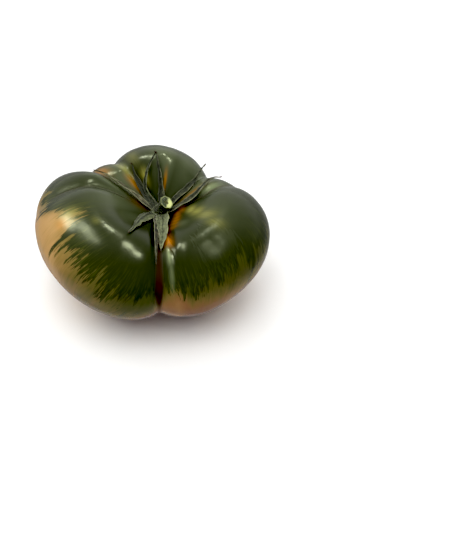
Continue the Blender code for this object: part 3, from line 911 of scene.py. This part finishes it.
def stalk_finish():
    """Dark green rind with lighter grain; the cut has a thin pale edge and half a ring of moist wood."""
    material, tree, shader = new_finish("green_stalk")
    place = add_node(tree, "TexCoord", {}).outputs["Object"]
    grain = add_noise(tree, place, GRAIN_PER_METRE, FIBRE_GRAIN)
    specks = add_noise(tree, place, (CUT_SPECKS_PER_METRE,) * 3, SPECKLED_GRAIN)
    ring = number_of(tree, "ring")
    rind = mix_colours(tree, rise(tree, grain, *GRAIN_SHOWS), RIND_DARK, RIND)
    moist = calculate(tree, "MULTIPLY_ADD", specks, MOIST_UNEVEN, number_of(tree, "moist"))
    wood = mix_colours(tree, rise(tree, moist, *MOIST_SHOWS), DRIED_WOOD, WOOD)
    pith = calculate(tree, "MULTIPLY_ADD", specks, PITH_UNEVEN, ring)
    cut = mix_colours(tree, rise(tree, pith, *PITH_ENDS), PITH, wood)
    edge = calculate(tree, "MULTIPLY_ADD", specks, EDGE_UNEVEN, ring)
    cut = mix_colours(tree, rise(tree, edge, *EDGE_STARTS), cut, RIND_EDGE)
    colour = mix_colours(tree, rise(tree, ring, *RIND_STARTS), cut, rind)
    tree.links.new(colour, shader.inputs["Base Color"])
    tree.links.new(bump(tree, grain, GRAIN_DEPTH), shader.inputs["Normal"])
    shader.inputs["Roughness"].default_value = STALK_ROUGHNESS
    shader.inputs["IOR"].default_value = STALK_IOR
    return material


bm = bmesh.new()
ring_layer = bm.verts.layers.float.new("ring")
moist_layer = bm.verts.layers.float.new("moist")
centre = SEAT + Vector((0, 0, 2 * DISC_GAP + 2 * DISC_HALF_HEIGHT))
ring = bmesh.ops.create_circle(bm, cap_ends=True, segments=STALK_SIDES, radius=STALK_RADII[0])["verts"]
edges = list(bm.edges)
for vertex in ring:
    rib = 1 + STALK_RIB_SHARE * math.cos(STALK_RIBS * math.atan2(vertex.co.y, vertex.co.x))
    vertex.co = centre + vertex.co * rib
    vertex[ring_layer] = OUTSIDE_CUT
foot_of_stalk = centre
radius = STALK_RADII[0]
for step in range(1, STALK_STEPS + 1):
    share = step / STALK_STEPS
    bow = Vector((STALK_BOW * math.sin(math.pi * share), 0, 0))
    next_centre = foot_of_stalk + STALK_LEAN * share + bow
    next_radius = float(np.interp(share, np.linspace(0, 1, len(STALK_RADII)), STALK_RADII))
    drawn = bmesh.ops.extrude_edge_only(bm, edges=edges)["geom"]
    ring = [item for item in drawn if isinstance(item, bmesh.types.BMVert)]
    edges = [item for item in drawn if isinstance(item, bmesh.types.BMEdge) and item.is_boundary]
    for vertex in ring:
        away = (vertex.co - centre).xy * next_radius / radius
        fall = away.dot(STALK_CUT_NORMAL.xy) / STALK_CUT_NORMAL.z
        vertex.co = next_centre + Vector((*away, -fall * share ** 2))
    centre = next_centre
    radius = next_radius
for vertex in bm.verts:
    away = (vertex.co - centre).xy.normalized()
    lump = STALK_KNOBS[0] * noise.noise(vertex.co * STALK_KNOBS[1])
    vertex.co.xy += away * lump
reach = 1.0
for ring_share, stand in CUT_RINGS:
    drawn = bmesh.ops.extrude_edge_only(bm, edges=edges)["geom"]
    ring = [item for item in drawn if isinstance(item, bmesh.types.BMVert)]
    edges = [item for item in drawn if isinstance(item, bmesh.types.BMEdge) and item.is_boundary]
    for vertex in ring:
        away = (vertex.co - centre).xy * ring_share / reach
        level = -away.dot(STALK_CUT_NORMAL.xy) / STALK_CUT_NORMAL.z + stand
        vertex.co = centre + Vector((*away, level))
        vertex.co.z += CUT_LUMPS[0] * noise.noise(vertex.co * CUT_LUMPS[1]) * (1 - ring_share)
        vertex[ring_layer] = ring_share
        towards = math.atan2(away.y, away.x) - math.radians(MOIST_BEARING)
        vertex[moist_layer] = math.cos(towards) / 2
    reach = ring_share
bmesh.ops.contextual_create(bm, geom=edges)
bmesh.ops.recalc_face_normals(bm, faces=bm.faces)
stalk = add_piece("cut_stalk", bm, stalk_finish(), "root", "green_stalk", "stem_stub")

# Hairs: the short down that grows on every green part of the plant. It stands on the stalk,
# on the disc and on the roots of the sepals, pale and nearly straight.
HAIRS = {"stalk": 260, "disc": 200, "sepals": 420}
HAIR_SIDES = 3
HAIR_LENGTH = (0.00035, 0.00080)
HAIR_ROOT_RADIUS = 0.0000225
HAIR_TAPER = 0.25
HAIR_LEAN = 0.5
HAIRS_WITHIN = 0.009
HAIRS_FACE_UP = -0.3
HAIR_SEED = 7
HAIR_COLOUR = (0.420, 0.440, 0.300)
HAIR_ROUGHNESS = 0.5


def hair_finish():
    """Pale hair, slightly warmer in places."""
    material, tree, shader = new_finish("plant_hair")
    place = add_node(tree, "TexCoord", {}).outputs["Object"]
    warmth = add_noise(tree, place, (BLOTCHES_PER_METRE,) * 3, SMOOTH_GRAIN)
    colour = mix_colours(tree, warmth, HAIR_COLOUR, DRY_MARGIN)
    tree.links.new(colour, shader.inputs["Base Color"])
    shader.inputs["Roughness"].default_value = HAIR_ROUGHNESS
    return material


# The operators leave faces in an order that changes between runs, so the draw takes them by place
draw = random.Random(HAIR_SEED)
bm = bmesh.new()
for piece, count in zip((stalk, disc, sepals), HAIRS.values()):
    corners = piece.data.vertices
    hairy = [face for face in piece.data.polygons if face.normal.z > HAIRS_FACE_UP
             and (face.center - disc_middle).length < HAIRS_WITHIN]
    hairy.sort(key=lambda face: sorted(corners[index].co[:] for index in face.vertices))
    for face in draw.choices(hairy, weights=[face.area for face in hairy], k=count):
        lean = Vector((draw.uniform(-1, 1), draw.uniform(-1, 1), draw.uniform(-1, 1))) * HAIR_LEAN
        direction = (face.normal + lean).normalized()
        length = draw.uniform(*HAIR_LENGTH)
        turn = direction.to_track_quat("Z", "Y").to_matrix().to_4x4()
        middle = Matrix.Translation(face.center + direction * length / 2)
        bmesh.ops.create_cone(bm, cap_ends=True, segments=HAIR_SIDES, radius1=HAIR_ROOT_RADIUS,
                              radius2=HAIR_ROOT_RADIUS * HAIR_TAPER, depth=length, matrix=middle @ turn)
add_piece("calyx_hairs", bm, hair_finish(), "root", "dry_calyx", "calyx")

# The studio: a pale floor, a bright sky behind the fruit that goes dim towards the front, and
# soft boxes overhead, which leave their small reflections on the lobes.
FLOOR_RADIUS = 2.0
FLOOR_SIDES = 96
FLOOR_WHITE = (0.93, 0.94, 0.94)
FLOOR_ROUGHNESS = 0.6
FLOOR_TOOTH_PER_METRE = 900.0
FLOOR_TOOTH_DEPTH = 0.00002
SKY_WHITE = (1.0, 1.0, 1.0)
SKY_TOWARDS = Vector((-0.15, 0.99, 0.0))
SKY_SPREAD = (-0.50, 0.95)
SKY_STRENGTH = (0.35, 1.20)
HORIZON = (-0.10, 0.0)
SKY_UNDER_FLOOR = 0.42

# The lamps stand on a dome round the middle of the fruit. One that shines shows only as a
# reflection, and the others only give light.
AIM = Vector((0.0, 0.0, 0.035))
LAMP_DISTANCE = 1.2
Lamp = namedtuple("Lamp", "bearing elevation width height power shines")
LAMPS = {
    "fill_left": Lamp(225, 68, 0.9, 0.9, 8.0, False),
    "fill_right": Lamp(300, 68, 0.8, 0.8, 5.0, False),
    "glint_back": Lamp(84, 66, 0.12, 0.12, 5.5, True),
    "glint_right_high": Lamp(341, 71, 0.24, 0.24, 8.0, True),
    "glint_right_low": Lamp(327, 54, 0.24, 0.24, 8.0, True),
    "glint_left_low": Lamp(157, 33, 0.26, 0.26, 6.5, True),
    "glint_left_high": Lamp(168, 52, 0.44, 0.30, 8.0, True),
}

# The camera looks down on the front of the fruit. BLACK_LEVEL is taken off its darkest tones.
CAMERA_PLACE = (0.00015, -0.3658, 0.3940)
CAMERA_TILT = 43.217
CAMERA_TURN = -5.13
CAMERA_LENS = 85
CAMERA_SENSOR = 36
CAMERA_SEES_FROM = 0.01
BLACK_LEVEL = (0.038, 0.039, 0.031)


def floor_finish():
    """Matt white board with the faintest tooth."""
    material, tree, shader = new_finish("studio_floor")
    place = add_node(tree, "TexCoord", {}).outputs["Object"]
    tooth = add_noise(tree, place, (FLOOR_TOOTH_PER_METRE,) * 3, PORE_GRAIN)
    tree.links.new(bump(tree, tooth, FLOOR_TOOTH_DEPTH), shader.inputs["Normal"])
    shader.inputs["Base Color"].default_value = (*FLOOR_WHITE, 1.0)
    shader.inputs["Roughness"].default_value = FLOOR_ROUGHNESS
    return material


bm = bmesh.new()
bmesh.ops.create_circle(bm, cap_ends=True, segments=FLOOR_SIDES, radius=FLOOR_RADIUS)
floor_mesh = bpy.data.meshes.new("floor")
bm.to_mesh(floor_mesh)
bm.free()
floor_mesh.materials.append(floor_finish())
floor = bpy.data.objects.new("floor", floor_mesh)
bpy.context.scene.collection.objects.link(floor)
floor.visible_glossy = False

world = bpy.data.worlds.new("studio_sky")
world.use_nodes = True
sky = world.node_tree
direction = add_node(sky, "TexCoord", {}).outputs["Generated"]
facing = add_node(sky, "VectorMath", {0: direction, 1: SKY_TOWARDS}, operation="DOT_PRODUCT")
glow = rise(sky, facing.outputs["Value"], *SKY_SPREAD, *SKY_STRENGTH)
height = add_node(sky, "SeparateXYZ", {0: direction}).outputs["Z"]
glow = calculate(sky, "MULTIPLY", glow, rise(sky, height, *HORIZON, SKY_UNDER_FLOOR, 1.0))
sky.links.new(glow, sky.nodes["Background"].inputs["Strength"])
sky.nodes["Background"].inputs["Color"].default_value = (*SKY_WHITE, 1.0)
bpy.context.scene.world = world

for name, lamp in LAMPS.items():
    light = bpy.data.lights.new(name, "AREA")
    light.shape = "RECTANGLE"
    light.size = lamp.width
    light.size_y = lamp.height
    light.energy = lamp.power
    light_object = bpy.data.objects.new(name, light)
    bearing, elevation = math.radians(lamp.bearing), math.radians(lamp.elevation)
    towards = Vector((math.cos(bearing) * math.cos(elevation), math.sin(bearing) * math.cos(elevation),
                      math.sin(elevation)))
    light_object.location = AIM + towards * LAMP_DISTANCE
    light_object.rotation_euler = towards.to_track_quat("Z", "Y").to_euler()
    light_object.visible_glossy = lamp.shines
    light_object.visible_diffuse = not lamp.shines
    bpy.context.scene.collection.objects.link(light_object)

camera_data = bpy.data.cameras.new("camera")
camera_data.lens = CAMERA_LENS
camera_data.sensor_width = CAMERA_SENSOR
camera_data.sensor_fit = "AUTO"
camera_data.clip_start = CAMERA_SEES_FROM
camera = bpy.data.objects.new("camera", camera_data)
camera.location = CAMERA_PLACE
camera.rotation_euler = (math.radians(CAMERA_TILT), 0, math.radians(CAMERA_TURN))
bpy.context.scene.collection.objects.link(camera)
bpy.context.scene.camera = camera
view_settings = bpy.context.scene.view_settings
view_settings.view_transform = "Standard"
view_settings.use_curve_mapping = True
view_settings.curve_mapping.black_level = BLACK_LEVEL
view_settings.curve_mapping.update()
